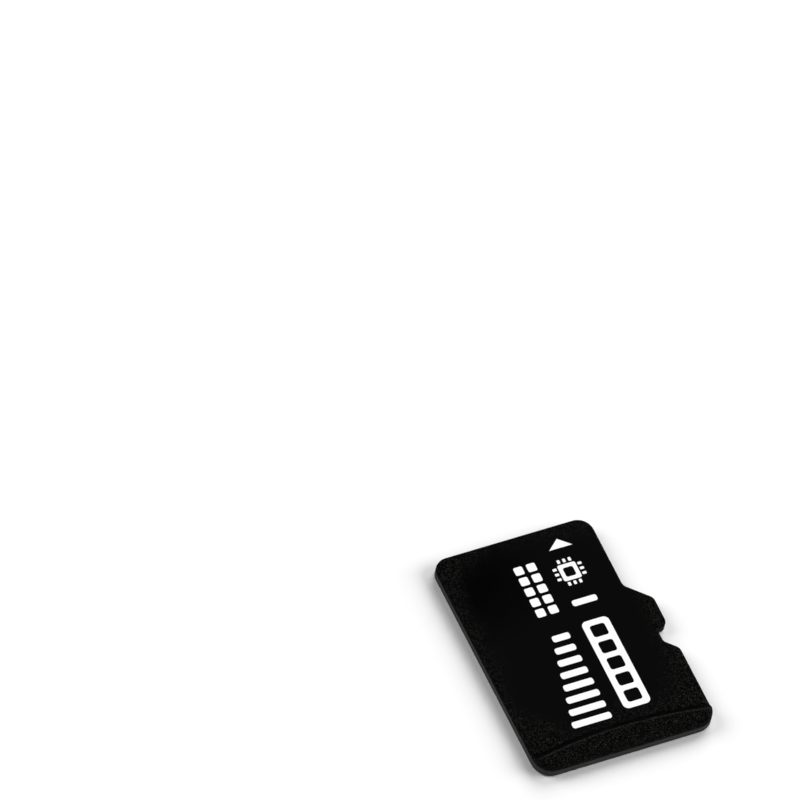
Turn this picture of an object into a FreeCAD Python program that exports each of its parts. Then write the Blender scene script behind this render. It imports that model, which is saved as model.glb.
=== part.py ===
# Small flash memory card with a finger ridge, a side notch and eight contacts underneath.
#
# The card lies on its contact side: +Z points out of the label face, +Y towards the contact
# end that goes into the socket first, and +X towards the notched side. The origin is the
# middle of the card's outline, on the underside. All sizes are millimetres.
import FreeCAD, Part
import os
import re
import Sketcher

SIZES = {
    # outline of the card
    "card_length": 15.0,
    "card_width": 11.0,
    "front_step": 1.3,
    "front_reach": 4.92,
    "notch_setback": 8.2,
    "notch_depth": 0.7,
    "notch_floor": 0.865,
    "slope_angle": 45.0,
    "rear_corner_radius": 1.12,
    "front_corner_radius": 0.92,
    "shoulder_radius": 0.5,
    "slope_radius": 0.45,
    "ear_radius": 0.48,
    "notch_radius": 0.1,
    "notch_toe_radius": 0.35,
    # heights above the underside, the ridge's before its crest is rounded
    "board_thickness": 0.2,
    "card_thickness": 0.7,
    "ridge_thickness": 1.01,
    "ridge_rear_thickness": 0.83,
    "top_edge_radius": 0.18,
    "bottom_edge_radius": 0.12,
    # finger ridge across the rear end
    "ridge_arc_radius": 30.0,
    "ridge_crest": 1.27,
    "ridge_slope_angle": 35.0,
    "ridge_edge_radius": 0.3,
    "ridge_crest_radius": 0.2,
    # contacts in the underside
    "contact_pitch": 1.1,
    "contact_width": 0.8,
    "contact_setback": 1.1,
    "contact_length": 2.9,
    "supply_lead_length": 0.6,
    "contact_thickness": 0.03,
    "contact_recess": 0.02,
    "contact_corner_radius": 0.1,
    # chips, adhesive films and copper on the board
    "chip_thickness": 0.1,
    "film_thickness": 0.02,
    "copper_thickness": 0.02,
    "controller_setback": 1.65,
    "controller_width": 2.8,
    "controller_length": 1.9,
    "memory_side_margin": 0.6,
    "memory_rear_margin": 1.1,
    # bond wires and the copper fingers that they end on
    "wire_width": 0.03,
    "wire_inset": 0.2,
    "wire_run": 0.5,
    "wire_loop": 0.1,
    "wire_foot": 0.06,
    "finger_length": 0.3,
    "finger_width": 0.2,
    "finger_row_space": 0.25,
    "row_end_margin": 0.4,
    "memory_wire_count": 15,
    "controller_wire_count": 6,
    # chip capacitors beside the controller
    "capacitor_length": 0.6,
    "capacitor_width": 0.3,
    "capacitor_height": 0.3,
    "capacitor_end": 0.15,
    "capacitor_space": 0.7,
    "capacitor_spread": 1.2,
}

CONTACT_COUNT = 8
SUPPLY_CONTACTS = (4, 6)
# The ridge's sloped front is cut over this angle of its arc, which is wider than the card.
RIDGE_CUT_DEGREES = 60
# Edges are found by place to within this distance.
CLOSE = 1e-4

# Places that several pieces share.
FRONT_EDGE = "card_length / 2"
REAR_EDGE = "-card_length / 2"
LEFT_SIDE = "-card_width / 2"
WIDE_SIDE = "card_width / 2"
NARROW_SIDE = "(card_width / 2 - front_step)"
NOTCH_WALL = "(card_length / 2 - notch_setback)"
NOTCH_TOE = f"({NOTCH_WALL} - notch_floor)"
NOTCH_BACK = "(card_width / 2 - notch_depth)"
SHOULDER = "(card_length / 2 - front_reach)"
CENTRE_LINE = "(-front_step / 2)"
FILM_TOP = "(board_thickness + film_thickness)"
CHIP_TOP = "(board_thickness + film_thickness + chip_thickness)"
COPPER_TOP = "(board_thickness + copper_thickness)"
CONTACT_SEAT = "(contact_recess + contact_thickness)"

# Chips and finger rows stand one behind the other, counted from the contact end.
CONTROLLER_FRONT = "(card_length / 2 - controller_setback)"
CONTROLLER_REAR = f"({CONTROLLER_FRONT} - controller_length)"
MEMORY_FINGERS = f"({CONTROLLER_REAR} - wire_run - finger_length - finger_row_space)"
MEMORY_FRONT = f"({MEMORY_FINGERS} - wire_run)"
MEMORY_REAR = "(memory_rear_margin - card_length / 2)"
MEMORY_WIDTH = "(card_width - front_step - 2 * memory_side_margin)"

# Corners of the outline, anticlockwise from the left rear one, each with its rounding.
OUTLINE = [
    (LEFT_SIDE, REAR_EDGE, "rear_corner_radius"),
    (WIDE_SIDE, REAR_EDGE, "rear_corner_radius"),
    (WIDE_SIDE, f"{NOTCH_TOE} - notch_depth / tan(slope_angle)", "slope_radius"),
    (NOTCH_BACK, NOTCH_TOE, "notch_toe_radius"),
    (NOTCH_BACK, NOTCH_WALL, "notch_radius"),
    (WIDE_SIDE, NOTCH_WALL, "ear_radius"),
    (WIDE_SIDE, f"{SHOULDER} - front_step / tan(slope_angle)", "slope_radius"),
    (NARROW_SIDE, SHOULDER, "shoulder_radius"),
    (NARROW_SIDE, FRONT_EDGE, "front_corner_radius"),
    (LEFT_SIDE, FRONT_EDGE, "front_corner_radius"),
]

doc = FreeCAD.newDocument("MemoryCard")
sheet = doc.addObject("Spreadsheet::Sheet", "Sizes")
for row, (alias, size) in enumerate(SIZES.items(), start=1):
    sheet.set(f"A{row}", alias)
    sheet.set(f"B{row}", str(size))
    sheet.setAlias(f"B{row}", alias)
doc.recompute()


def on_sheet(text):
    """The expression with each size written as the sheet's cell."""
    return re.sub(r"[a-z_]+", lambda word: f"Sizes.{word[0]}" if word[0] in SIZES else word[0], text)


def value(text):
    """The number that an expression gives with the sheet as it is."""
    return float(sheet.evalExpression(on_sheet(text)))


def bind(thing, prop, text):
    thing.setExpression(prop, on_sheet(text))


def new_body(name):
    body = doc.addObject("PartDesign::Body", name)
    body.AllowCompound = True
    return body


def datum(body, role):
    return next(item for item in body.Origin.OriginFeatures if item.Role == role)


def line_sketch(body, name, plane, corners, offset=None, closed=True):
    """Straight lines through corners that are fixed by expressions, on an origin plane."""
    sketch = body.newObject("Sketcher::SketchObject", name)
    sketch.AttachmentSupport = (datum(body, plane), [""])
    sketch.MapMode = "FlatFace"
    for axis, text in (offset or {}).items():
        bind(sketch, f"AttachmentOffset.Base.{axis}", text)
    points = [FreeCAD.Vector(value(x), value(y), 0) for x, y in corners]
    ends = points[1:] + points[:1] if closed else points[1:]
    for start, end in zip(points, ends):
        sketch.addGeometry(Part.LineSegment(start, end))
    lines = len(ends)
    for line in range(lines if closed else lines - 1):
        sketch.addConstraint(Sketcher.Constraint("Coincident", line, 2, (line + 1) % lines, 1))
    for index, (point, corner) in enumerate(zip(points, corners)):
        line, end = (index, 1) if index < lines else (lines - 1, 2)
        for kind, size, text in zip(("DistanceX", "DistanceY"), (point.x, point.y), corner):
            number = sketch.addConstraint(Sketcher.Constraint(kind, -1, 1, line, end, size))
            bind(sketch, f"Constraints[{number}]", text)
    return sketch


def rectangle(left, right, front, rear):
    return [(left, rear), (right, rear), (right, front), (left, front)]


def pad(body, sketch, height):
    feature = body.newObject("PartDesign::Pad", f"{body.Name}Pad")
    feature.Profile = sketch
    bind(feature, "Length", height)
    doc.recompute()
    return feature


def edges_where(feature, test):
    """Names of the edges whose box passes a test."""
    edges = enumerate(feature.Shape.Edges, start=1)
    return [f"Edge{number}" for number, edge in edges if test(edge.BoundBox)]


def upright_edges(feature, places):
    """Names of the upright edges that stand at the given places in plan."""
    def stands_at(box, x, y):
        return max(abs(box.XMin - x), abs(box.XMax - x), abs(box.YMin - y), abs(box.YMax - y)) < CLOSE

    return edges_where(feature, lambda box: any(stands_at(box, x, y) for x, y in places))


def level_edges(feature, height):
    """Names of the edges that lie at one height."""
    return edges_where(feature, lambda box: max(abs(box.ZMin - height), abs(box.ZMax - height)) < CLOSE)


def round_edges(body, feature, edges, radius):
    rounding = body.newObject("PartDesign::Fillet", f"{body.Name}Rounding")
    rounding.Base = (feature, edges)
    bind(rounding, "Radius", radius)
    doc.recompute()
    return rounding


def card_blank(name, floor, height):
    """A plate with the card's outline and its rounded upright corners."""
    body = new_body(name)
    corners = [(x, y) for x, y, radius in OUTLINE]
    feature = pad(body, line_sketch(body, f"{name}Outline", "XY_Plane", corners, {"z": floor}), height)
    for radius in dict.fromkeys(radius for x, y, radius in OUTLINE):
        places = [(value(x), value(y)) for x, y, rounding in OUTLINE if rounding == radius]
        feature = round_edges(body, feature, upright_edges(feature, places), radius)
    return body, feature


def block(name, middle, rear, floor, width, length, height):
    """A plain block, centred on a line across the card and counted forward from its rear."""
    piece = doc.addObject("Part::Box", name)
    for prop, text in (("Length", width), ("Width", length), ("Height", height)):
        bind(piece, prop, text)
    for axis, text in (("x", f"{middle} - ({width}) / 2"), ("y", rear), ("z", floor)):
        bind(piece, f"Placement.Base.{axis}", text)
    return piece


def repeat_across(body, feature, count, pitch):
    row = body.newObject("PartDesign::LinearPattern", f"{body.Name}Row")
    row.Originals = [feature]
    row.Direction = (datum(body, "X_Axis"), [""])
    bind(row, "Length", f"({pitch}) * ({count} - 1)")
    bind(row, "Occurrences", count)
    body.Tip = row
    doc.recompute()
    return body


def wire_row(name, chip_edge, forward, chip_width, count):
    """Bond wires from one edge of a chip down to a row of copper fingers on the board."""
    first = f"({CENTRE_LINE} - ({chip_width}) / 2 + row_end_margin)"
    pitch = f"(({chip_width}) - 2 * row_end_margin) / ({count} - 1)"
    landing = f"({chip_edge} {forward} wire_run)"
    start = f"({chip_edge} - ({forward} wire_inset))"

    wires = new_body(f"{name}_bond_wires")
    run = [
        (start, CHIP_TOP),
        (start, f"{CHIP_TOP} + wire_loop"),
        (landing, f"{COPPER_TOP} + wire_foot"),
        (landing, COPPER_TOP),
    ]
    path = line_sketch(wires, f"{name}WirePath", "YZ_Plane", run, {"z": first}, closed=False)
    section = rectangle(f"{first} - wire_width / 2", f"{first} + wire_width / 2",
                        f"{start} + wire_width / 2", f"{start} - wire_width / 2")
    profile = line_sketch(wires, f"{name}WireSection", "XY_Plane", section, {"z": CHIP_TOP})
    doc.recompute()
    wire = wires.newObject("PartDesign::AdditivePipe", f"{name}Wire")
    wire.Profile = profile
    wire.Spine = (path, ["Edge1", "Edge2", "Edge3"])
    wire.Transition = "Right corner"
    doc.recompute()
    repeat_across(wires, wire, count, pitch)

    fingers = new_body(f"{name}_bond_fingers")
    land = rectangle(f"{first} - finger_width / 2", f"{first} + finger_width / 2",
                     f"{landing} + finger_length / 2", f"{landing} - finger_length / 2")
    outline = line_sketch(fingers, f"{name}FingerOutline", "XY_Plane", land, {"z": "board_thickness"})
    finger = pad(fingers, outline, "copper_thickness")
    repeat_across(fingers, finger, count, pitch)
    return [wires, fingers]


# Label half of the moulding: a plate with every top edge rounded.
slab, plate = card_blank("LabelSlab", "board_thickness", "card_thickness - board_thickness")
round_edges(slab, plate, level_edges(plate, value("card_thickness")), "top_edge_radius")

# Finger ridge: a wedge over the rear end that rises to a crest, whose front is a sloped face along a
# shallow arc. It reaches down past the rounding of the label slab and past its own rim's, so that its ends
# close against the sides.
RIDGE_FLOOR = "min(card_thickness - 1.5 * top_edge_radius; ridge_rear_thickness - 1.3 * ridge_edge_radius)"
RIDGE_BLOCK = f"(ridge_thickness - {RIDGE_FLOOR})"
RIDGE_RUN = f"({RIDGE_BLOCK} / tan(ridge_slope_angle))"
RIDGE_LENGTH = f"(ridge_crest + 1.2 * {RIDGE_RUN})"
RIDGE_FRONT = f"({REAR_EDGE} + {RIDGE_LENGTH})"
RIDGE_RISE = "((ridge_thickness - ridge_rear_thickness) / ridge_crest)"

# The slab's rounded rear edge makes room for the wedge in a bed that ends under the ridge, behind its crest.
bed_plan = rectangle(f"{LEFT_SIDE} - rear_corner_radius", f"{WIDE_SIDE} + rear_corner_radius",
                     f"{REAR_EDGE} + 0.7 * ridge_crest", f"{REAR_EDGE} - rear_corner_radius")
bed_sketch = line_sketch(slab, "RidgeBedPlan", "XY_Plane", bed_plan, {"z": RIDGE_FLOOR})
bed = slab.newObject("PartDesign::Pocket", "RidgeBed")
bed.Profile = bed_sketch
bed.Reversed = True
bind(bed, "Length", "card_thickness")
doc.recompute()

ridge = new_body("FingerRidge")
ridge_side = [
    (REAR_EDGE, RIDGE_FLOOR),
    (RIDGE_FRONT, RIDGE_FLOOR),
    (RIDGE_FRONT, f"ridge_rear_thickness + {RIDGE_RISE} * {RIDGE_LENGTH}"),
    (REAR_EDGE, "ridge_rear_thickness"),
]
ridge_sketch = line_sketch(ridge, "RidgeSide", "YZ_Plane", ridge_side, {"z": LEFT_SIDE})
wedge = pad(ridge, ridge_sketch, "card_width")
rear_corners = [(value(x), value(y)) for x, y, radius in OUTLINE if radius == "rear_corner_radius"]
wedge = round_edges(ridge, wedge, upright_edges(wedge, rear_corners), "rear_corner_radius")
rim_floor = value("ridge_rear_thickness") - CLOSE
rim_front = value(RIDGE_FRONT) - CLOSE
rim = edges_where(wedge, lambda box: box.ZMin > rim_floor and box.YMin < rim_front)
wedge = round_edges(ridge, wedge, rim, "ridge_edge_radius")
full_volume = wedge.Shape.Volume

slope_cut = [
    (f"ridge_arc_radius - {RIDGE_RUN}", f"ridge_thickness + {RIDGE_BLOCK}"),
    (f"ridge_arc_radius + 2 * {RIDGE_RUN}", f"ridge_thickness - 2 * {RIDGE_BLOCK}"),
    ("ridge_arc_radius + card_width", f"ridge_thickness - 2 * {RIDGE_BLOCK}"),
    ("ridge_arc_radius + card_width", f"ridge_thickness + {RIDGE_BLOCK}"),
]
arc_centre = {"x": f"{REAR_EDGE} + ridge_crest - ridge_arc_radius"}
slope_sketch = line_sketch(ridge, "RidgeSlope", "YZ_Plane", slope_cut, arc_centre)
slope = ridge.newObject("PartDesign::Groove", "RidgeSlopeCut")
slope.Profile = slope_sketch
slope.ReferenceAxis = (slope_sketch, ["V_Axis"])
slope.Angle = RIDGE_CUT_DEGREES
slope.Midplane = True
doc.recompute()
print("ridge", round(full_volume, 4), "after the slope cut", round(slope.Shape.Volume, 4))
crest_rear = value(f"{REAR_EDGE} + ridge_crest / 2")
half_width = value("card_width / 2")
label_height = value("card_thickness")
crest = edges_where(
    slope, lambda box: box.XLength > half_width and box.YMin > crest_rear and box.ZMin > label_height)
round_edges(ridge, slope, crest, "ridge_crest_radius")

# Ridge and slab are one moulding.
moulding = slab.newObject("PartDesign::Boolean", "RidgeOnSlab")
moulding.Group = [ridge]
moulding.Type = "Fuse"
doc.recompute()

# Laminate board: the card's whole underside, with a shallow seat for each contact.
board, laminate = card_blank("Board", "0 * board_thickness", "board_thickness")
round_edges(board, laminate, level_edges(laminate, 0), "bottom_edge_radius")
seats = []
contacts = []
contact_rear = f"({FRONT_EDGE} - contact_setback - contact_length)"
for number in range(1, CONTACT_COUNT + 1):
    middle = f"({CENTRE_LINE} + contact_pitch * {(CONTACT_COUNT + 1) / 2 - number})"
    lead = " + supply_lead_length" if number in SUPPLY_CONTACTS else ""
    contact_plan = rectangle(f"{middle} - contact_width / 2", f"{middle} + contact_width / 2",
                             f"{FRONT_EDGE} - contact_setback{lead}", contact_rear)
    contact = new_body(f"contact_{number}")
    leaf_floor = {"z": "contact_recess"}
    plan_sketch = line_sketch(contact, f"ContactPlan{number}", "XY_Plane", contact_plan, leaf_floor)
    leaf = pad(contact, plan_sketch, "contact_thickness")
    places = [(value(x), value(y)) for x, y in contact_plan]
    round_edges(contact, leaf, upright_edges(leaf, places), "contact_corner_radius")
    contact.Label = f"contact_{number}"
    contacts.append(contact)

    seat_sketch = line_sketch(board, f"SeatPlan{number}", "XY_Plane", contact_plan)
    seat = board.newObject("PartDesign::Pocket", f"ContactSeat{number}")
    seat.Profile = seat_sketch
    seat.Reversed = True
    bind(seat, "Length", CONTACT_SEAT)
    doc.recompute()
    seats.extend(places)
seat_edges = upright_edges(seat, seats)
round_edges(board, seat, seat_edges, "contact_corner_radius")
board.Label = "board"

# Chips on their adhesive films.
controller = (CENTRE_LINE, CONTROLLER_REAR, "controller_width", "controller_length")
memory = (CENTRE_LINE, MEMORY_REAR, MEMORY_WIDTH, f"{MEMORY_FRONT} - {MEMORY_REAR}")
embedded = []
for chip, (middle, rear, width, length) in (("controller", controller), ("memory", memory)):
    film = block(f"{chip}_chip_film", middle, rear, "board_thickness", width, length, "film_thickness")
    die = block(f"{chip}_chip", middle, rear, FILM_TOP, width, length, "chip_thickness")
    embedded.extend([film, die])
controller_row = ("controller_width", "controller_wire_count")
embedded.extend(wire_row("controller_front", CONTROLLER_FRONT, "+", *controller_row))
embedded.extend(wire_row("controller_rear", CONTROLLER_REAR, "-", *controller_row))
embedded.extend(wire_row("memory", MEMORY_FRONT, "+", MEMORY_WIDTH, "memory_wire_count"))

# Chip capacitors, two on each side of the controller, on copper lands.
CAPACITOR_REACH = "(controller_width / 2 + capacitor_space + capacitor_length / 2)"
CONTROLLER_MIDDLE = f"({CONTROLLER_REAR} + controller_length / 2)"
capacitor = 0
for side in (-1, 1):
    for place in (-1, 1):
        capacitor += 1
        middle = f"({CENTRE_LINE} + {side} * {CAPACITOR_REACH})"
        rear = f"({CONTROLLER_MIDDLE} + {place} * capacitor_spread / 2 - capacitor_width / 2)"
        ceramic = block(f"capacitor_ceramic_{capacitor}", middle, rear, COPPER_TOP,
                        "capacitor_length - 2 * capacitor_end", "capacitor_width", "capacitor_height")
        ends = []
        lands = []
        for end in (-1, 1):
            end_middle = f"({middle} + {end} * (capacitor_length - capacitor_end) / 2)"
            ends.append(block(f"EndCap{capacitor}{end + 2}", end_middle, rear, COPPER_TOP,
                              "capacitor_end", "capacitor_width", "capacitor_height"))
            lands.append(block(f"Land{capacitor}{end + 2}", end_middle, rear, "board_thickness",
                               "capacitor_end", "capacitor_width", "copper_thickness"))
        for label, pair in ((f"capacitor_ends_{capacitor}", ends), (f"capacitor_lands_{capacitor}", lands)):
            group = doc.addObject("Part::Compound", label)
            group.Links = pair
            embedded.append(group)
        embedded.append(ceramic)

# The compound flows round everything that stands on the board.
kernel = doc.addObject("Part::Compound", "Kernel")
kernel.Links = embedded
mould_body = doc.addObject("Part::Cut", "MouldBody")
mould_body.Base = slab
mould_body.Tool = kernel
mould_body.Refine = True
mould_body.Label = "mould_body"
doc.recompute()

sub_parts = [mould_body, board] + contacts + embedded
for item in doc.Objects:
    if "Invalid" in item.State or "Error" in item.State:
        raise RuntimeError(f"{item.Label} did not build: {item.State}")
for item in sub_parts:
    if item.Shape.isNull() or not item.Shape.isValid() or item.Shape.Volume <= 0:
        raise RuntimeError(f"{item.Label} has no sound shape")

os.makedirs("parts", exist_ok=True)
for item in sub_parts:
    item.Shape.exportStep(f"parts/{item.Label}.step")
    print(item.Label, "solids", len(item.Shape.Solids), "volume", round(item.Shape.Volume, 5))
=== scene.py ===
# %% [markdown]
# A small flash memory card
#
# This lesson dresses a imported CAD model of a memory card: a thin black moulding with a finger
# ridge, a laminate board under it and eight gold contacts in the board. The CAD meshes have the
# right form and size already, so no vertex is moved here. What is left for Blender is the camera,
# the light, the finish of every surface and the white print on the label face.

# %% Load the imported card
import math
import bpy
from mathutils import Matrix, Vector


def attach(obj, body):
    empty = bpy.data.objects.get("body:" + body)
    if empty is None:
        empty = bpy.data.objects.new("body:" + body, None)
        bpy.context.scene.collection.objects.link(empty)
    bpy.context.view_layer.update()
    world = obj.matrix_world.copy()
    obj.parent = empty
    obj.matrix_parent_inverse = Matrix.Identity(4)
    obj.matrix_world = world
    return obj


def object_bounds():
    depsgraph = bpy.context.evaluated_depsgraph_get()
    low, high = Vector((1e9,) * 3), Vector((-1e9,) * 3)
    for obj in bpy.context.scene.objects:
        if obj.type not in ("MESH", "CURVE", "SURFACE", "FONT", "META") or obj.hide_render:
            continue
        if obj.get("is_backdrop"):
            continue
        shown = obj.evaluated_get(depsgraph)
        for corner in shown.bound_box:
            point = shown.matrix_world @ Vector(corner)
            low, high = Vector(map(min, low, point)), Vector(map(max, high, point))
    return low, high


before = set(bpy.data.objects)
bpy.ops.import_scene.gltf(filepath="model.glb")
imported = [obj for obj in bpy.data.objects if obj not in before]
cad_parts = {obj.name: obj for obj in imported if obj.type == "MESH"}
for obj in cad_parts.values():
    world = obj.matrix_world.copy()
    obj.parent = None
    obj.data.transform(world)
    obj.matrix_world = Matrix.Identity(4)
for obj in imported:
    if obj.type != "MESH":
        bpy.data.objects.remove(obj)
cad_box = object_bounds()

MM = 0.001
card_low, card_high = cad_box
print("nodes:", len(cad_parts))
print("card in millimetres:", [round(side / MM, 3) for side in card_high - card_low])

# %% [markdown]
# The camera
#
# The picture looks down on the card from beyond its rear left corner, through a long lens:
# opposite edges stay nearly parallel. A camera can be aimed with a Track To constraint, but three
# axes in a matrix are exact, and they hold the small roll too. Azimuth and elevation give the axis
# that points back to the camera, and the roll turns the other two about it. The card lies off the
# middle of the picture, so the camera stands to one side by that much, and the lens needs no
# shift.

# %% Camera axes and place
PICTURE_PIXELS = 800
CARD_MIDDLE_PIXEL = Vector((572.9, 647.85))
PIXELS_PER_MM = 17.97
AZIMUTH = math.radians(-35.55)
ELEVATION = math.radians(54.4)
ROLL = math.radians(13.86)
CAMERA_DISTANCE_MM = 1000.0
CLIP_END = 10.0

back = Vector((
    math.sin(AZIMUTH) * math.cos(ELEVATION),
    -math.cos(AZIMUTH) * math.cos(ELEVATION),
    math.sin(ELEVATION)))
level = Vector((0, 0, 1)).cross(back).normalized()
roll = Matrix.Rotation(ROLL, 3, back)
right = roll @ level
up = roll @ back.cross(level)

picture_middle = Vector((PICTURE_PIXELS / 2, PICTURE_PIXELS / 2))
aside = (CARD_MIDDLE_PIXEL - picture_middle) / PIXELS_PER_MM
place = (back * CAMERA_DISTANCE_MM - right * aside.x + up * aside.y) * MM

camera = bpy.data.objects.new("photo_camera", bpy.data.cameras.new("photo_camera"))
bpy.context.scene.collection.objects.link(camera)
axes = Matrix((right, up, back)).transposed().to_4x4()
camera.matrix_world = Matrix.Translation(place) @ axes
camera.data.lens = camera.data.sensor_width * CAMERA_DISTANCE_MM * PIXELS_PER_MM / PICTURE_PIXELS
camera.data.clip_end = CLIP_END
bpy.context.scene.camera = camera
print("lens in millimetres:", round(camera.data.lens, 1))

# %% [markdown]
# Colours and nodes
#
# Colours are written as a designer writes them, as sRGB hex codes. Blender's shaders work in
# linear light, so one function converts them. A second function adds a node, sets its properties
# and fills its sockets: a socket that is given another node's output is linked, and any other
# value is set. Every material below is built with these two.

# %% Two helpers
def linear(code):
    """A hex colour such as #1a2b3c as linear red, green, blue and alpha, by the sRGB curve."""
    shares = [int(code[at:at + 2], 16) / 255 for at in (1, 3, 5)]
    return [c / 12.92 if c <= 0.04045 else ((c + 0.055) / 1.055) ** 2.4 for c in shares] + [1.0]


def add(tree, kind, sockets=None, **settings):
    """A new node with its settings, and its sockets set or linked."""
    made = tree.nodes.new(kind)
    for name, value in settings.items():
        setattr(made, name, value)
    for socket, value in (sockets or {}).items():
        if isinstance(value, bpy.types.NodeSocket):
            tree.links.new(value, made.inputs[socket])
        else:
            made.inputs[socket].default_value = value
    return made


print("black plastic in linear light:", [round(c, 4) for c in linear("#101010")[:3]])

# %% [markdown]
# The light
#
# The card lies in a soft, even light. Three wide lamps stand round the far end and the right side,
# so a soft shadow falls to the left and to the near end. Area lamps would do, but a Sun lamp with
# a large angle gives the same light everywhere, and its strength is easy to set: together the
# lamps and the dim room make white paper come out just white. A black moulding shows what it
# mirrors, and on the real card that is a dark room above and white paper beside it. So the lamps
# are kept out of the gloss, and the room stays dim.

# %% Lamps and room
# Each lamp: azimuth from +Y towards +X, elevation and width in degrees, and its share of the
# paper's light.
LAMPS = {
    "right_lamp": (110, 27, 42, 0.37),
    "corner_lamp": (44, 34, 44, 0.35),
    "far_lamp": (306, 32, 42, 0.28),
}
SHARE_OF_ROOM = 0.03

for name, (azimuth, elevation, width, share) in LAMPS.items():
    lamp = bpy.data.objects.new(name, bpy.data.lights.new(name, "SUN"))
    bpy.context.scene.collection.objects.link(lamp)
    lamp.rotation_euler = (math.radians(90 - elevation), 0, math.radians(180 - azimuth))
    lamp.data.angle = math.radians(width)
    lamp.data.energy = share * math.pi / math.sin(math.radians(elevation))
    lamp.visible_glossy = False
    print(name, "energy:", round(lamp.data.energy, 2))

world = bpy.data.worlds.new("dim_room")
world.use_nodes = True
room = world.node_tree.nodes["Background"]
room.inputs["Color"].default_value = linear("#ffffff")
room.inputs["Strength"].default_value = SHARE_OF_ROOM
bpy.context.scene.world = world
bpy.context.scene.view_settings.view_transform = "Standard"
print("paper light in all:", round(SHARE_OF_ROOM + sum(lamp[-1] for lamp in LAMPS.values()), 3))

# %% [markdown]
# The paper
#
# The ground is a sheet of white paper. A curved backdrop would hide the horizon, but this camera
# looks down and sees none, so one flat face is enough. It reaches far past the picture, and it
# lies a hundredth of a millimetre under the card, because two faces in one plane flicker.
# Uncoated paper has no gloss at all.

# %% White paper
PAPER_HALF_WIDTH = 4.0
PAPER_DROP = 0.01 * MM

span = PAPER_HALF_WIDTH
paper_corners = [(-span, -span, 0), (span, -span, 0), (span, span, 0), (-span, span, 0)]
paper_mesh = bpy.data.meshes.new("white_paper")
paper_mesh.from_pydata(paper_corners, [], [(0, 1, 2, 3)])
paper = bpy.data.objects.new("white_paper", paper_mesh)
paper.location.z = card_low.z - PAPER_DROP
bpy.context.scene.collection.objects.link(paper)
paper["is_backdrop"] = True

paper_finish = bpy.data.materials.new("uncoated_white_paper")
paper_finish.use_nodes = True
tree = paper_finish.node_tree
tree.nodes.clear()
sheet = add(tree, "ShaderNodeBsdfPrincipled", {
    "Base Color": linear("#ffffff"), "Roughness": 1.0, "Specular IOR Level": 0.0})
add(tree, "ShaderNodeOutputMaterial", {"Surface": sheet.outputs["BSDF"]})
paper_mesh.materials.append(paper_finish)
print("paper width in metres:", 2 * PAPER_HALF_WIDTH)

# %% [markdown]
# Starting a material and putting it on CAD nodes
#
# Each material begins as an empty node tree. The patterns read object coordinates: the packed
# nodes sit at the origin, so these are places on the card in metres, and a pattern's scale is one
# over the size of one cell.

# %% Material helpers
def blank_material(name):
    """A new material and its empty node tree."""
    material = bpy.data.materials.new(name)
    material.use_nodes = True
    material.node_tree.nodes.clear()
    return material, material.node_tree


def cells_per_metre(millimetres):
    """A pattern's scale, from the size of one of its cells."""
    return 1 / (millimetres * MM)


def cover(material, names):
    """Gives CAD nodes a finish."""
    for name in names:
        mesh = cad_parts[name].data
        mesh.materials.clear()
        mesh.materials.append(material)
    print(material.name, "on", len(names), "nodes")


# A Mix node has sockets of the same names for colours and for numbers, so both are reached by
# their places in its list.
COLOUR_A, COLOUR_B, COLOUR_OUT = 6, 7, 2
NUMBER_A, NUMBER_B = 2, 3
print("cells per metre of a 0.1 mm pattern:", round(cells_per_metre(0.1)))

# %% [markdown]
# The moulding
#
# The card's top and sides are epoxy moulding compound: resin filled with silica powder and blacked
# with carbon, shot into a steel mould whose faces were spark eroded. It gives a deep matt black
# with a fine grain, whose lightest specks are painted glints. Where the label is printed the face
# is smoother, and towards the edges and on the ridge the grain shows. The smooth field also has a
# painted sheen: it is blackest in one corner and greyer away from it. A painted mask could say
# where the grain shows, but places in millimetres need no picture: the distance from the field's
# middle, made uneven by a coarse noise, gives it a soft border.

# %% Where the label face is smooth, and its painted sheen
SMOOTH_MIDDLE = Vector((-0.1, 0.9, 0.0)) * MM
SMOOTH_HALF = Vector((4.9, 6.3, 0.0)) * MM
PATCH_MM = 1.6
PATCH_SHARE = 0.6
GRAIN_BEGINS = 1.0
GRAIN_IS_FULL = 1.6
# Painted sheen: the smooth field is blackest near this point and greyer further from it.
LEAST_SHEEN_AT = Vector((-3.9, 5.4, 0.7)) * MM
NO_SHEEN_WITHIN_MM = 1.0
FULL_SHEEN_BEYOND_MM = 4.5

compound, tree = blank_material("black_epoxy_moulding_compound")
coordinates = add(tree, "ShaderNodeTexCoord")
card_place = coordinates.outputs["Object"]
from_middle = add(tree, "ShaderNodeVectorMath", {
    0: card_place, 1: SMOOTH_MIDDLE}, operation="SUBTRACT")
shares = add(tree, "ShaderNodeVectorMath", {
    0: from_middle.outputs[0], 1: (1 / SMOOTH_HALF.x, 1 / SMOOTH_HALF.y, 0)}, operation="MULTIPLY")
# The length of the shares would give an ellipse. The length of their squares gives a rounded
# rectangle, which follows the card's outline.
squares = add(tree, "ShaderNodeVectorMath", {
    0: shares.outputs[0], 1: shares.outputs[0]}, operation="MULTIPLY")
reach = add(tree, "ShaderNodeVectorMath", {0: squares.outputs[0]}, operation="LENGTH")
patches = add(tree, "ShaderNodeTexNoise", {
    "Vector": card_place, "Scale": cells_per_metre(PATCH_MM), "Detail": 2.0})
uneven = add(tree, "ShaderNodeMath", {
    0: patches.outputs[0], 1: PATCH_SHARE, 2: reach.outputs["Value"]}, operation="MULTIPLY_ADD")
grainy = add(tree, "ShaderNodeMapRange", {
    "Value": uneven.outputs[0], "From Min": GRAIN_BEGINS, "From Max": GRAIN_IS_FULL},
    interpolation_type="SMOOTHSTEP")

# Painted sheen: the smooth field goes from near black to dark grey with the distance from that
# point.
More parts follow.
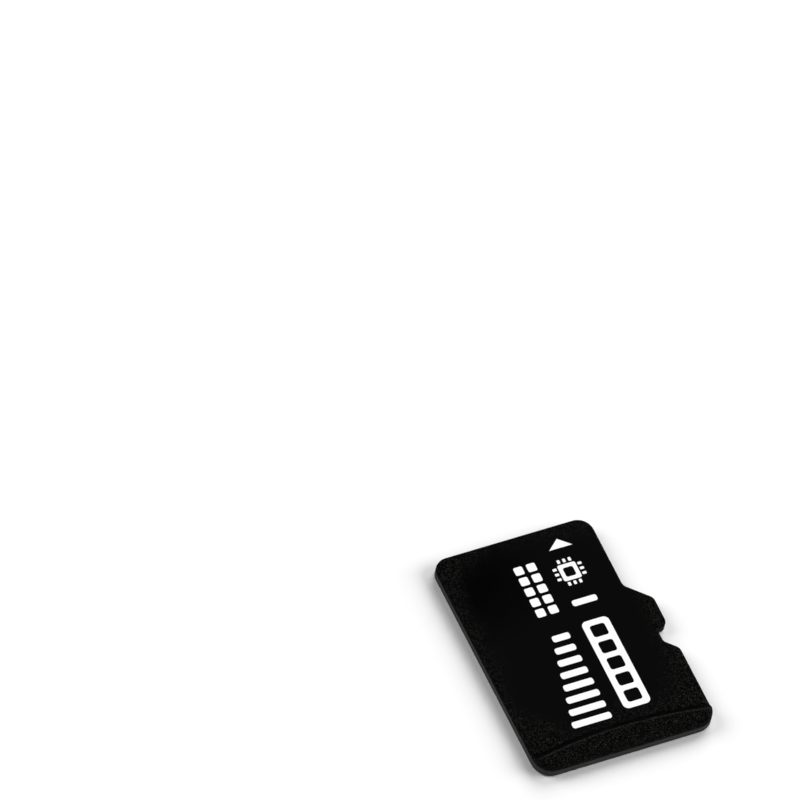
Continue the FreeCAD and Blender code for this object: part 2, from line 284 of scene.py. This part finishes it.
from_least_sheen = add(tree, "ShaderNodeVectorMath", {
    0: card_place, 1: LEAST_SHEEN_AT}, operation="DISTANCE")
painted_sheen = add(tree, "ShaderNodeMapRange", {
    "Value": from_least_sheen.outputs["Value"],
    "From Min": NO_SHEEN_WITHIN_MM * MM, "From Max": FULL_SHEEN_BEYOND_MM * MM})
smooth_tint_and_sheen = add(tree, "ShaderNodeMix", {
    "Factor": painted_sheen.outputs[0], COLOUR_A: linear("#040404"), COLOUR_B: linear("#0a0a0a")},
    data_type="RGBA")
print("smooth field in millimetres:", [round(2 * half / MM, 1) for half in SMOOTH_HALF[:2]])

# %% [markdown]
# The grain
#
# Spark-eroded grain is about 0.03 mm across. It is drawn two to three times coarser here, or the
# picture would lose it. Displacing the mesh would cost millions of faces for grains this small, so
# one noise drives colour and bump together, and the mask says how much of both shows.

# %% Grain of the mould, with painted glints on its lightest specks
GRAIN_MM = 0.08
GRAIN_RELIEF_MM = 0.01
GLINT_BEGINS = 0.51
GLINT_IS_FULL = 0.76

grain = add(tree, "ShaderNodeTexNoise", {
    "Vector": card_place, "Scale": cells_per_metre(GRAIN_MM), "Detail": 3.0, "Roughness": 0.7})
glint = add(tree, "ShaderNodeMapRange", {
    "Value": grain.outputs[0], "From Min": GLINT_BEGINS, "From Max": GLINT_IS_FULL})
# Painted glints: where the grain noise is high, the specks are lifted to dark grey.
grain_and_glint_tint = add(tree, "ShaderNodeMix", {
    "Factor": glint.outputs[0], COLOUR_A: linear("#030303"), COLOUR_B: linear("#3c3c3a")},
    data_type="RGBA")
skin = add(tree, "ShaderNodeMix", {
    "Factor": grainy.outputs[0], COLOUR_A: smooth_tint_and_sheen.outputs[COLOUR_OUT],
    COLOUR_B: grain_and_glint_tint.outputs[COLOUR_OUT]}, data_type="RGBA")
height = add(tree, "ShaderNodeMath", {
    0: grain.outputs[0], 1: grainy.outputs[0]}, operation="MULTIPLY")
relief = add(tree, "ShaderNodeBump", {
    "Height": height.outputs[0], "Strength": 0.6, "Distance": GRAIN_RELIEF_MM * MM})
print("grain in millimetres:", GRAIN_MM)

# %% [markdown]
# Painted shade on the front faces, and a painted highlight on the crest
#
# The faces that look towards the contact end, the ridge's slope and the front rounding, get painted
# shade: they are drawn blacker, with less of the grain. Along the ridge's crest a painted highlight
# runs as a bright line, broken where the grain is deep. The object's own normal tells which way a
# face looks, and the crest is an arc, so the distance from its centre finds it.

# %% Painted shade on the front faces and the painted crest highlight
FRONT_SHADE_BEGINS = 0.2
FRONT_SHADE_IS_FULL = 0.45
FRONT_SHADE_AT_MOST = 0.85
CREST_ARC_MM = 30.0
CREST_AT_MIDDLE_MM = -6.23
CREST_HALF_WIDTH_MM = 0.06
CREST_HIGHLIGHT_BEGINS = 0.42
CREST_HIGHLIGHT_IS_FULL = 0.62

facing = add(tree, "ShaderNodeSeparateXYZ", {0: coordinates.outputs["Normal"]})
# Painted shade: faces whose normal looks towards the contact end are darkened towards #020202.
painted_front_shade = add(tree, "ShaderNodeMapRange", {
    "Value": facing.outputs["Y"], "From Min": FRONT_SHADE_BEGINS, "From Max": FRONT_SHADE_IS_FULL,
    "To Max": FRONT_SHADE_AT_MOST})
front_shaded_tint = add(tree, "ShaderNodeMix", {
    "Factor": painted_front_shade.outputs[0], COLOUR_A: skin.outputs[COLOUR_OUT], COLOUR_B: linear("#020202")},
    data_type="RGBA")

arc_centre = Vector((0.0, CREST_AT_MIDDLE_MM - CREST_ARC_MM, 0.0)) * MM
from_centre = add(tree, "ShaderNodeVectorMath", {
    0: card_place, 1: arc_centre}, operation="SUBTRACT")
in_plan = add(tree, "ShaderNodeVectorMath", {
    0: from_centre.outputs[0], 1: (1, 1, 0)}, operation="MULTIPLY")
radius = add(tree, "ShaderNodeVectorMath", {0: in_plan.outputs[0]}, operation="LENGTH")
on_crest = add(tree, "ShaderNodeMath", {
    0: radius.outputs["Value"], 1: CREST_ARC_MM * MM, 2: CREST_HALF_WIDTH_MM * MM},
    operation="COMPARE")
# Painted highlight: on the crest, where the grain is high, the colour is lifted to dark grey.
highlight_in_grain = add(tree, "ShaderNodeMapRange", {
    "Value": grain.outputs[0], "From Min": CREST_HIGHLIGHT_BEGINS, "From Max": CREST_HIGHLIGHT_IS_FULL})
bright = add(tree, "ShaderNodeMath", {
    0: on_crest.outputs[0], 1: highlight_in_grain.outputs[0]}, operation="MULTIPLY")
crest_highlight_tint = add(tree, "ShaderNodeMix", {
    "Factor": bright.outputs[0], COLOUR_A: front_shaded_tint.outputs[COLOUR_OUT],
    COLOUR_B: linear("#2a2a28")}, data_type="RGBA")
print("crest line in millimetres:", 2 * CREST_HALF_WIDTH_MM)

# %% [markdown]
# The sides
#
# Below the moulded rounding, the sides are painted grey in a grained band: painted reflection of
# the white paper beside them. The stretch by the notch gets no painted reflection and stays dark.
# The sides could have a material of their own, but the CAD mesh stays whole, so height and place
# on the card tell them apart. Matt compound then needs a high roughness and hardly any specular
# light.

# %% Painted reflection on the sides, and the finished compound
# Painted reflection: the grey band stands in for the white paper that the sides mirror.
SIDE_REFLECTION_TOP_MM = 0.54
SIDE_REFLECTION_BLUR_MM = 0.02
NOTCH_STRETCH_FROM_MM = -2.6
NOTCHED_SIDE_MM = 3.9

above = add(tree, "ShaderNodeSeparateXYZ", {0: card_place})
side_band = add(tree, "ShaderNodeMapRange", {
    "Value": above.outputs["Z"],
    "From Min": (SIDE_REFLECTION_TOP_MM + SIDE_REFLECTION_BLUR_MM) * MM, "From Max": (SIDE_REFLECTION_TOP_MM - SIDE_REFLECTION_BLUR_MM) * MM})
side_reflection_tint = add(tree, "ShaderNodeMix", {
    "Factor": grain.outputs[0], COLOUR_A: linear("#2a2a2a"), COLOUR_B: linear("#454544")},
    data_type="RGBA")
beside = add(tree, "ShaderNodeMath", {
    0: above.outputs["X"], 1: NOTCHED_SIDE_MM * MM}, operation="LESS_THAN")
behind = add(tree, "ShaderNodeMath", {
    0: above.outputs["Y"], 1: NOTCH_STRETCH_FROM_MM * MM}, operation="LESS_THAN")
straight = add(tree, "ShaderNodeMath", {
    0: beside.outputs[0], 1: behind.outputs[0]}, operation="MAXIMUM")
# Painted reflection, on every side except the stretch by the notch.
painted_side_reflection = add(tree, "ShaderNodeMath", {
    0: side_band.outputs[0], 1: straight.outputs[0]}, operation="MULTIPLY")
tint = add(tree, "ShaderNodeMix", {
    "Factor": painted_side_reflection.outputs[0], COLOUR_A: crest_highlight_tint.outputs[COLOUR_OUT],
    COLOUR_B: side_reflection_tint.outputs[COLOUR_OUT]}, data_type="RGBA")
moulding = add(tree, "ShaderNodeBsdfPrincipled", {
    "Base Color": tint.outputs[COLOUR_OUT], "Roughness": 0.9, "IOR": 1.55,
    "Specular IOR Level": 0.1, "Normal": relief.outputs[0]})
add(tree, "ShaderNodeOutputMaterial", {"Surface": moulding.outputs["BSDF"]})
cover(compound, ["mould_body"])

# %% [markdown]
# The board
#
# Under the moulding lies a thin board of black glass laminate. Its underside is coated with black
# solder mask, a smooth satin lacquer that follows the copper tracks under it, so they show as a
# faint relief. Its cut edge shows the layers of glass cloth as fine level lines. One material does
# both: the object's own normal tells edge and underside apart. The tracks are waves inside square
# cells, each cell picking its direction by chance, as short runs of routed track do.

# %% Tracks and layers
TRACK_PITCH_MM = 0.24
TRACK_BLOCK_MM = 1.7
LAYER_MM = 0.05
# At scale 1 a Wave texture repeats once in this length.
WAVE_LENGTH = math.pi / 10
UNDERSIDE_BEGINS = -0.4
UNDERSIDE_IS_FULL = -0.6

laminate, tree = blank_material("black_solder_mask_on_glass_laminate")
coordinates = add(tree, "ShaderNodeTexCoord")
card_place = coordinates.outputs["Object"]
facing = add(tree, "ShaderNodeSeparateXYZ", {0: coordinates.outputs["Normal"]})
underside = add(tree, "ShaderNodeMapRange", {
    "Value": facing.outputs["Z"], "From Min": UNDERSIDE_BEGINS, "From Max": UNDERSIDE_IS_FULL})

blocks = add(tree, "ShaderNodeTexVoronoi", {
    "Vector": card_place, "Scale": cells_per_metre(TRACK_BLOCK_MM)}, distance="CHEBYCHEV")
chance = add(tree, "ShaderNodeSeparateColor", {0: blocks.outputs["Color"]})
tracks = {}
for direction in ("X", "Y"):
    tracks[direction] = add(tree, "ShaderNodeTexWave", {
        "Vector": card_place, "Scale": WAVE_LENGTH * cells_per_metre(TRACK_PITCH_MM)},
        bands_direction=direction)
turned = add(tree, "ShaderNodeMath", {0: chance.outputs[0], 1: 0.5}, operation="GREATER_THAN")
routed = add(tree, "ShaderNodeMix", {
    "Factor": turned.outputs[0], NUMBER_A: tracks["X"].outputs["Fac"],
    NUMBER_B: tracks["Y"].outputs["Fac"]})
layers = add(tree, "ShaderNodeTexWave", {
    "Vector": card_place, "Scale": WAVE_LENGTH * cells_per_metre(LAYER_MM), "Distortion": 1.5,
    "Detail": 2.0}, bands_direction="Z")
print("track pitch in millimetres:", TRACK_PITCH_MM)

# %% [markdown]
# Lacquer and edge
#
# Lacquer is smooth and a cut is rough, so the same normal also sets the gloss. A second material
# for the edge would need a second mesh. Tracks and layers share one bump here, each on its own
# face.

# %% Solder mask and laminate edge
BOARD_RELIEF_MM = 0.006

ripple = add(tree, "ShaderNodeMix", {
    "Factor": underside.outputs[0], NUMBER_A: layers.outputs["Fac"], NUMBER_B: routed.outputs[0]})
edge_tint = add(tree, "ShaderNodeMix", {
    "Factor": layers.outputs["Fac"], COLOUR_A: linear("#282927"), COLOUR_B: linear("#393a37")},
    data_type="RGBA")
mask_tint = add(tree, "ShaderNodeMix", {
    "Factor": routed.outputs[0], COLOUR_A: linear("#0b0d0c"), COLOUR_B: linear("#121614")},
    data_type="RGBA")
tint = add(tree, "ShaderNodeMix", {
    "Factor": underside.outputs[0], COLOUR_A: edge_tint.outputs[COLOUR_OUT],
    COLOUR_B: mask_tint.outputs[COLOUR_OUT]}, data_type="RGBA")
gloss = add(tree, "ShaderNodeMapRange", {
    "Value": underside.outputs[0], "To Min": 0.9, "To Max": 0.3})
relief = add(tree, "ShaderNodeBump", {
    "Height": ripple.outputs[0], "Strength": 0.4, "Distance": BOARD_RELIEF_MM * MM})
board = add(tree, "ShaderNodeBsdfPrincipled", {
    "Base Color": tint.outputs[COLOUR_OUT], "Roughness": gloss.outputs[0], "IOR": 1.55,
    "Specular IOR Level": 0.3, "Normal": relief.outputs[0]})
add(tree, "ShaderNodeOutputMaterial", {"Surface": board.outputs["BSDF"]})
cover(laminate, ["board"])

# %% [markdown]
# The contacts
#
# The eight contacts are copper, plated with nickel and hard gold. Plating is satin bright, and
# each time the card goes into a socket a spring wipes along the contact, so fine scratches run
# along the card. A noise that is stretched in that direction makes both the scratches' relief and
# their slightly rougher gloss.

# %% Hard gold plate
SCRATCH_WIDTH_MM = 0.02
SCRATCH_LENGTH_MM = 1.2
SCRATCH_DEPTH_MM = 0.002

gold_plate, tree = blank_material("hard_gold_plate_on_copper")
card_place = add(tree, "ShaderNodeTexCoord").outputs["Object"]
stretch = Vector((cells_per_metre(SCRATCH_WIDTH_MM), cells_per_metre(SCRATCH_LENGTH_MM), 0.0))
along_card = add(tree, "ShaderNodeVectorMath", {0: card_place, 1: stretch}, operation="MULTIPLY")
scratches = add(tree, "ShaderNodeTexNoise", {
    "Vector": along_card.outputs[0], "Scale": 1.0, "Detail": 2.0})
gloss = add(tree, "ShaderNodeMapRange", {
    "Value": scratches.outputs[0], "To Min": 0.18, "To Max": 0.42})
tint = add(tree, "ShaderNodeMix", {
    "Factor": scratches.outputs[0], COLOUR_A: linear("#e8bf68"), COLOUR_B: linear("#d6a950")},
    data_type="RGBA")
relief = add(tree, "ShaderNodeBump", {
    "Height": scratches.outputs[0], "Strength": 0.25, "Distance": SCRATCH_DEPTH_MM * MM})
plate = add(tree, "ShaderNodeBsdfPrincipled", {
    "Base Color": tint.outputs[COLOUR_OUT], "Metallic": 1.0, "Roughness": gloss.outputs[0],
    "Normal": relief.outputs[0]})
add(tree, "ShaderNodeOutputMaterial", {"Surface": plate.outputs["BSDF"]})
contacts = [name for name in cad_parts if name.startswith("contact_")]
cover(gold_plate, contacts)

# %% [markdown]
# Inside the moulding
#
# The chips, films, wires and capacitors are sealed in the compound, and only someone who takes the
# card apart sees them. Each still gets the finish that it has on the bench: two colours of the
# real material, mixed by a noise as fine as its grain, with that noise in the gloss too. They
# differ in numbers only, so one loop makes them all.

# %% Finishes of the sealed pieces
# Each finish: the end of its nodes' names, two colours, metallic, least and most roughness, and
# the grain in millimetres.
SEALED = {
    # ground silicon: dark steel grey with a mirror-like back
    "ground_silicon": ("_chip", "#3a3d45", "#484b54", 0.0, 0.16, 0.30, 0.4),
    # cured die-attach film: amber, slightly clouded
    "cured_adhesive_film": ("_film", "#7a5c2a", "#946f35", 0.0, 0.4, 0.6, 0.2),
    # drawn gold wire: bright, warm, streaked by the die
    "drawn_gold_wire": ("_wires", "#efc66e", "#e0b258", 1.0, 0.15, 0.28, 0.05),
    # etched copper foil: pink and matt
    "etched_copper_foil": ("_fingers", "#c98d6b", "#b87a5a", 1.0, 0.35, 0.55, 0.06),
    # solder lands of the same foil
    "tinned_copper_land": ("_lands", "#b9a08c", "#c7b8a8", 1.0, 0.35, 0.5, 0.06),
    # matt tin plate on the capacitors' ends
    "matt_tin_plate": ("_ends", "#b4b4b0", "#9d9d99", 1.0, 0.4, 0.55, 0.05),
    # fired barium titanate: tan ceramic
    "fired_capacitor_ceramic": ("_ceramic", "#8f7256", "#7d6249", 0.0, 0.45, 0.65, 0.04),
}

for name, (ending, first, second, metallic, smoothest, roughest, grain_mm) in SEALED.items():
    finish, tree = blank_material(name)
    card_place = add(tree, "ShaderNodeTexCoord").outputs["Object"]
    cloud = add(tree, "ShaderNodeTexNoise", {
        "Vector": card_place, "Scale": cells_per_metre(grain_mm), "Detail": 2.0})
    tint = add(tree, "ShaderNodeMix", {
        "Factor": cloud.outputs[0], COLOUR_A: linear(first), COLOUR_B: linear(second)},
        data_type="RGBA")
    gloss = add(tree, "ShaderNodeMapRange", {
        "Value": cloud.outputs[0], "To Min": smoothest, "To Max": roughest})
    surface = add(tree, "ShaderNodeBsdfPrincipled", {
        "Base Color": tint.outputs[COLOUR_OUT], "Metallic": metallic,
        "Roughness": gloss.outputs[0]})
    add(tree, "ShaderNodeOutputMaterial", {"Surface": surface.outputs["BSDF"]})
    # A node's name may end in a number, as capacitor_ends_3 does.
    cover(finish, [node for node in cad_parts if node.rstrip("_1234").endswith(ending)])

# %% [markdown]
# The print
#
# White marks are screen printed on the label face: an arrow that shows which end goes into the
# socket, a gauge, and plain marks beside them. Print could be painted by the shader, but ink has a
# thickness of its own, so each mark is a thin mesh. A filled 2-D curve is the quick way: a spline
# inside another one becomes a hole, and extruding the curve gives the ink its edge. The curve is
# turned into a mesh at the end, so that what is kept is plain geometry.

# %% Outlines of the marks
ARC_STEPS = 8


def arc(centre, radius, start, end):
    """Points on an arc between two angles in degrees."""
    step = (end - start) / ARC_STEPS
    turns = [math.radians(start + step * number) for number in range(ARC_STEPS + 1)]
    return [(centre[0] + radius * math.cos(turn), centre[1] + radius * math.sin(turn))
            for turn in turns]


def rounded_rectangle(left, right, rear, front, radius):
    """Points round a rectangle whose corners are rounded."""
    corners = [((right - radius, front - radius), 0), ((left + radius, front - radius), 90),
               ((left + radius, rear + radius), 180), ((right - radius, rear + radius), 270)]
    return [point for centre, start in corners for point in arc(centre, radius, start, start + 90)]


print("points in one rounded rectangle:", len(rounded_rectangle(0, 2, 0, 1, 0.2)))

# %% [markdown]
# Gauge and bars
#
# Places of the marks are millimetres in the card's own frame. A gauge stands for how full the card
# is, with windows where the black shows through, and the bars beside it grow towards the rear end.

# %% Gauge and bars
GAUGE = (0.78, 2.44, -5.1, 0.98)
GAUGE_CORNER = 0.32
GAUGE_MARGIN = 0.2
WINDOW_COUNT = 5
WINDOW_HALF_WIDTH = 0.46
WINDOW_MARGIN = 0.17
WINDOW_CORNER = 0.16
BAR_COUNT = 8
BAR_RIGHT = -0.1
BAR_REAR = -5.35
BAR_STEP = 0.8
BAR_WIDTH = 0.42
LONGEST_BAR = 2.4
BAR_SHRINK = 0.19
BAR_CORNER = 0.14

gauge_left, gauge_right, gauge_rear, gauge_front = GAUGE
gauge_middle = (gauge_left + gauge_right) / 2
window_step = (gauge_front - gauge_rear - 2 * GAUGE_MARGIN) / WINDOW_COUNT
windows = []
for number in range(WINDOW_COUNT):
    rear = gauge_rear + GAUGE_MARGIN + window_step * number
    windows.append(rounded_rectangle(
        gauge_middle - WINDOW_HALF_WIDTH, gauge_middle + WINDOW_HALF_WIDTH,
        rear + WINDOW_MARGIN, rear + window_step - WINDOW_MARGIN, WINDOW_CORNER))

bars = []
for number in range(BAR_COUNT):
    left = BAR_RIGHT - LONGEST_BAR + BAR_SHRINK * number
    rear = BAR_REAR + BAR_STEP * number
    bars.append(rounded_rectangle(left, BAR_RIGHT, rear, rear + BAR_WIDTH, BAR_CORNER))
print("windows:", len(windows), "bars:", len(bars))

# %% [markdown]
# Memory cells and a chip
#
# A grid of small squares and the picture of a chip stand for the memory. The chip is a frame with
# three pins on each side. Opposite pins mirror each other, so two loops place them all.

# %% Memory cells and a chip
CELL_COLUMNS = 2
CELL_ROWS = 5
CELL_START = (-1.32, 2.05)
CELL_STEP = (0.78, 0.74)
CELL_SIZE = 0.54
CELL_CORNER = 0.1
CHIP_MIDDLE = (1.66, 4.35)
CHIP_HALF = 0.55
CHIP_RIM = 0.24
CHIP_CORNER = 0.12
PIN_STEP = 0.34
PIN_HALF_WIDTH = 0.085
PIN_GAP = 0.1
PIN_LENGTH = 0.24
PIN_CORNER = 0.04

cells = []
for column in range(CELL_COLUMNS):
    for row in range(CELL_ROWS):
        left = CELL_START[0] + CELL_STEP[0] * column
        rear = CELL_START[1] + CELL_STEP[1] * row
        cells.append(rounded_rectangle(left, left + CELL_SIZE, rear, rear + CELL_SIZE, CELL_CORNER))

chip_x, chip_y = CHIP_MIDDLE
chip = [rounded_rectangle(chip_x - half, chip_x + half, chip_y - half, chip_y + half, CHIP_CORNER)
        for half in (CHIP_HALF, CHIP_HALF - CHIP_RIM)]
pin_start = CHIP_HALF + PIN_GAP
for along in (-PIN_STEP, 0.0, PIN_STEP):
    low, high = along - PIN_HALF_WIDTH, along + PIN_HALF_WIDTH
    for side in (-1, 1):
        near, far = sorted((side * pin_start, side * (pin_start + PIN_LENGTH)))
        chip.append(rounded_rectangle(
            chip_x + near, chip_x + far, chip_y + low, chip_y + high, PIN_CORNER))
        chip.append(rounded_rectangle(
            chip_x + low, chip_x + high, chip_y + near, chip_y + far, PIN_CORNER))
print("cells:", len(cells), "outlines of the chip:", len(chip))

# %% [markdown]
# All marks
#
# The arrow points to the contact end, and a short bar stands under the chip. With these two, all
# outlines go into one table by name, so that one loop can ink them.

# %% Table of marks
ARROW = [(1.14, 5.97), (2.56, 5.97), (1.88, 6.58)]
SHORT_BAR = (0.9, 2.42, 2.1, 2.5)
SHORT_BAR_CORNER = 0.14

marks = {
    "insertion_arrow": [ARROW],
    "gauge": [rounded_rectangle(*GAUGE, GAUGE_CORNER)] + windows,
    "level_bars": bars,
    "memory_cells": cells,
    "chip_mark": chip,
    "short_bar": [rounded_rectangle(*SHORT_BAR, SHORT_BAR_CORNER)],
}
print("marks:", {name: len(outlines) for name, outlines in marks.items()})

# %% [markdown]
# The ink
#
# Screen ink is white pigment in a resin that is cured under a lamp. It lies a hundredth of a
# millimetre thick, covers the black well and dries satin. The mesh of the screen leaves a faint,
# regular weave in it, too fine to see from a step away, so it is drawn twice as coarse and very
# weak.

# %% White screen ink
SCREEN_MESH_MM = 0.16
WEAVE_RELIEF_MM = 0.004
CLOUD_MM = 0.35

ink, tree = blank_material("white_screen_ink")
card_place = add(tree, "ShaderNodeTexCoord").outputs["Object"]
cloud = add(tree, "ShaderNodeTexNoise", {
    "Vector": card_place, "Scale": cells_per_metre(CLOUD_MM), "Detail": 3.0})
tint = add(tree, "ShaderNodeMix", {
    "Factor": cloud.outputs[0], COLOUR_A: linear("#ffffff"), COLOUR_B: linear("#fafaf9")},
    data_type="RGBA")
weave = add(tree, "ShaderNodeTexVoronoi", {
    "Vector": card_place, "Scale": cells_per_metre(SCREEN_MESH_MM), "Randomness": 0.1},
    voronoi_dimensions="2D")
relief = add(tree, "ShaderNodeBump", {
    "Height": weave.outputs["Distance"], "Strength": 0.15, "Distance": WEAVE_RELIEF_MM * MM})
film = add(tree, "ShaderNodeBsdfPrincipled", {
    "Base Color": tint.outputs[COLOUR_OUT], "Roughness": 0.5, "IOR": 1.5,
    "Specular IOR Level": 0.3, "Normal": relief.outputs[0]})
add(tree, "ShaderNodeOutputMaterial", {"Surface": film.outputs["BSDF"]})
print("ink weave in millimetres:", SCREEN_MESH_MM)

# %% [markdown]
# Inking the label face
#
# Now the outlines become ink. The curve's extrusion goes both ways from its plane, so the plane
# lies half the ink's thickness above the label face, less the little that it sinks in, which keeps
# the two surfaces from flickering.

# %% Ink on the label face
LABEL_FACE = 0.7 * MM
INK_THICKNESS = 0.014 * MM
INK_SINK = 0.002 * MM

for name, outlines in marks.items():
    curve = bpy.data.curves.new(name, "CURVE")
    curve.dimensions = "2D"
    curve.fill_mode = "BOTH"
    curve.extrude = INK_THICKNESS / 2
    for outline in outlines:
        spline = curve.splines.new("POLY")
        spline.points.add(len(outline) - 1)
        for point, (x, y) in zip(spline.points, outline):
            point.co = (x * MM, y * MM, 0, 1)
        spline.use_cyclic_u = True
    drawn = bpy.data.objects.new(name + "_curve", curve)
    mesh = bpy.data.meshes.new_from_object(drawn)
    mesh.transform(Matrix.Translation((0, 0, LABEL_FACE - INK_SINK + INK_THICKNESS / 2)))
    mesh.materials.clear()
    mesh.materials.append(ink)
    mark = bpy.data.objects.new(name, mesh)
    bpy.context.scene.collection.objects.link(mark)
    bpy.data.objects.remove(drawn)
    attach(mark, "root")
    print(name, "faces:", len(mesh.polygons))

# %% [markdown]
# Sizes and the end
#
# Dressing a part must not change its size, so the boxes of the CAD model and of the dressed one
# are compared, and how far the dressed one reaches past the other at its upper corner is printed.

# %% Compare the boxes and finish
visual_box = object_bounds()
grown = [round((b - a) / MM, 4) for a, b in zip(cad_box[1], visual_box[1])]
print("grown by, in millimetres:", grown)
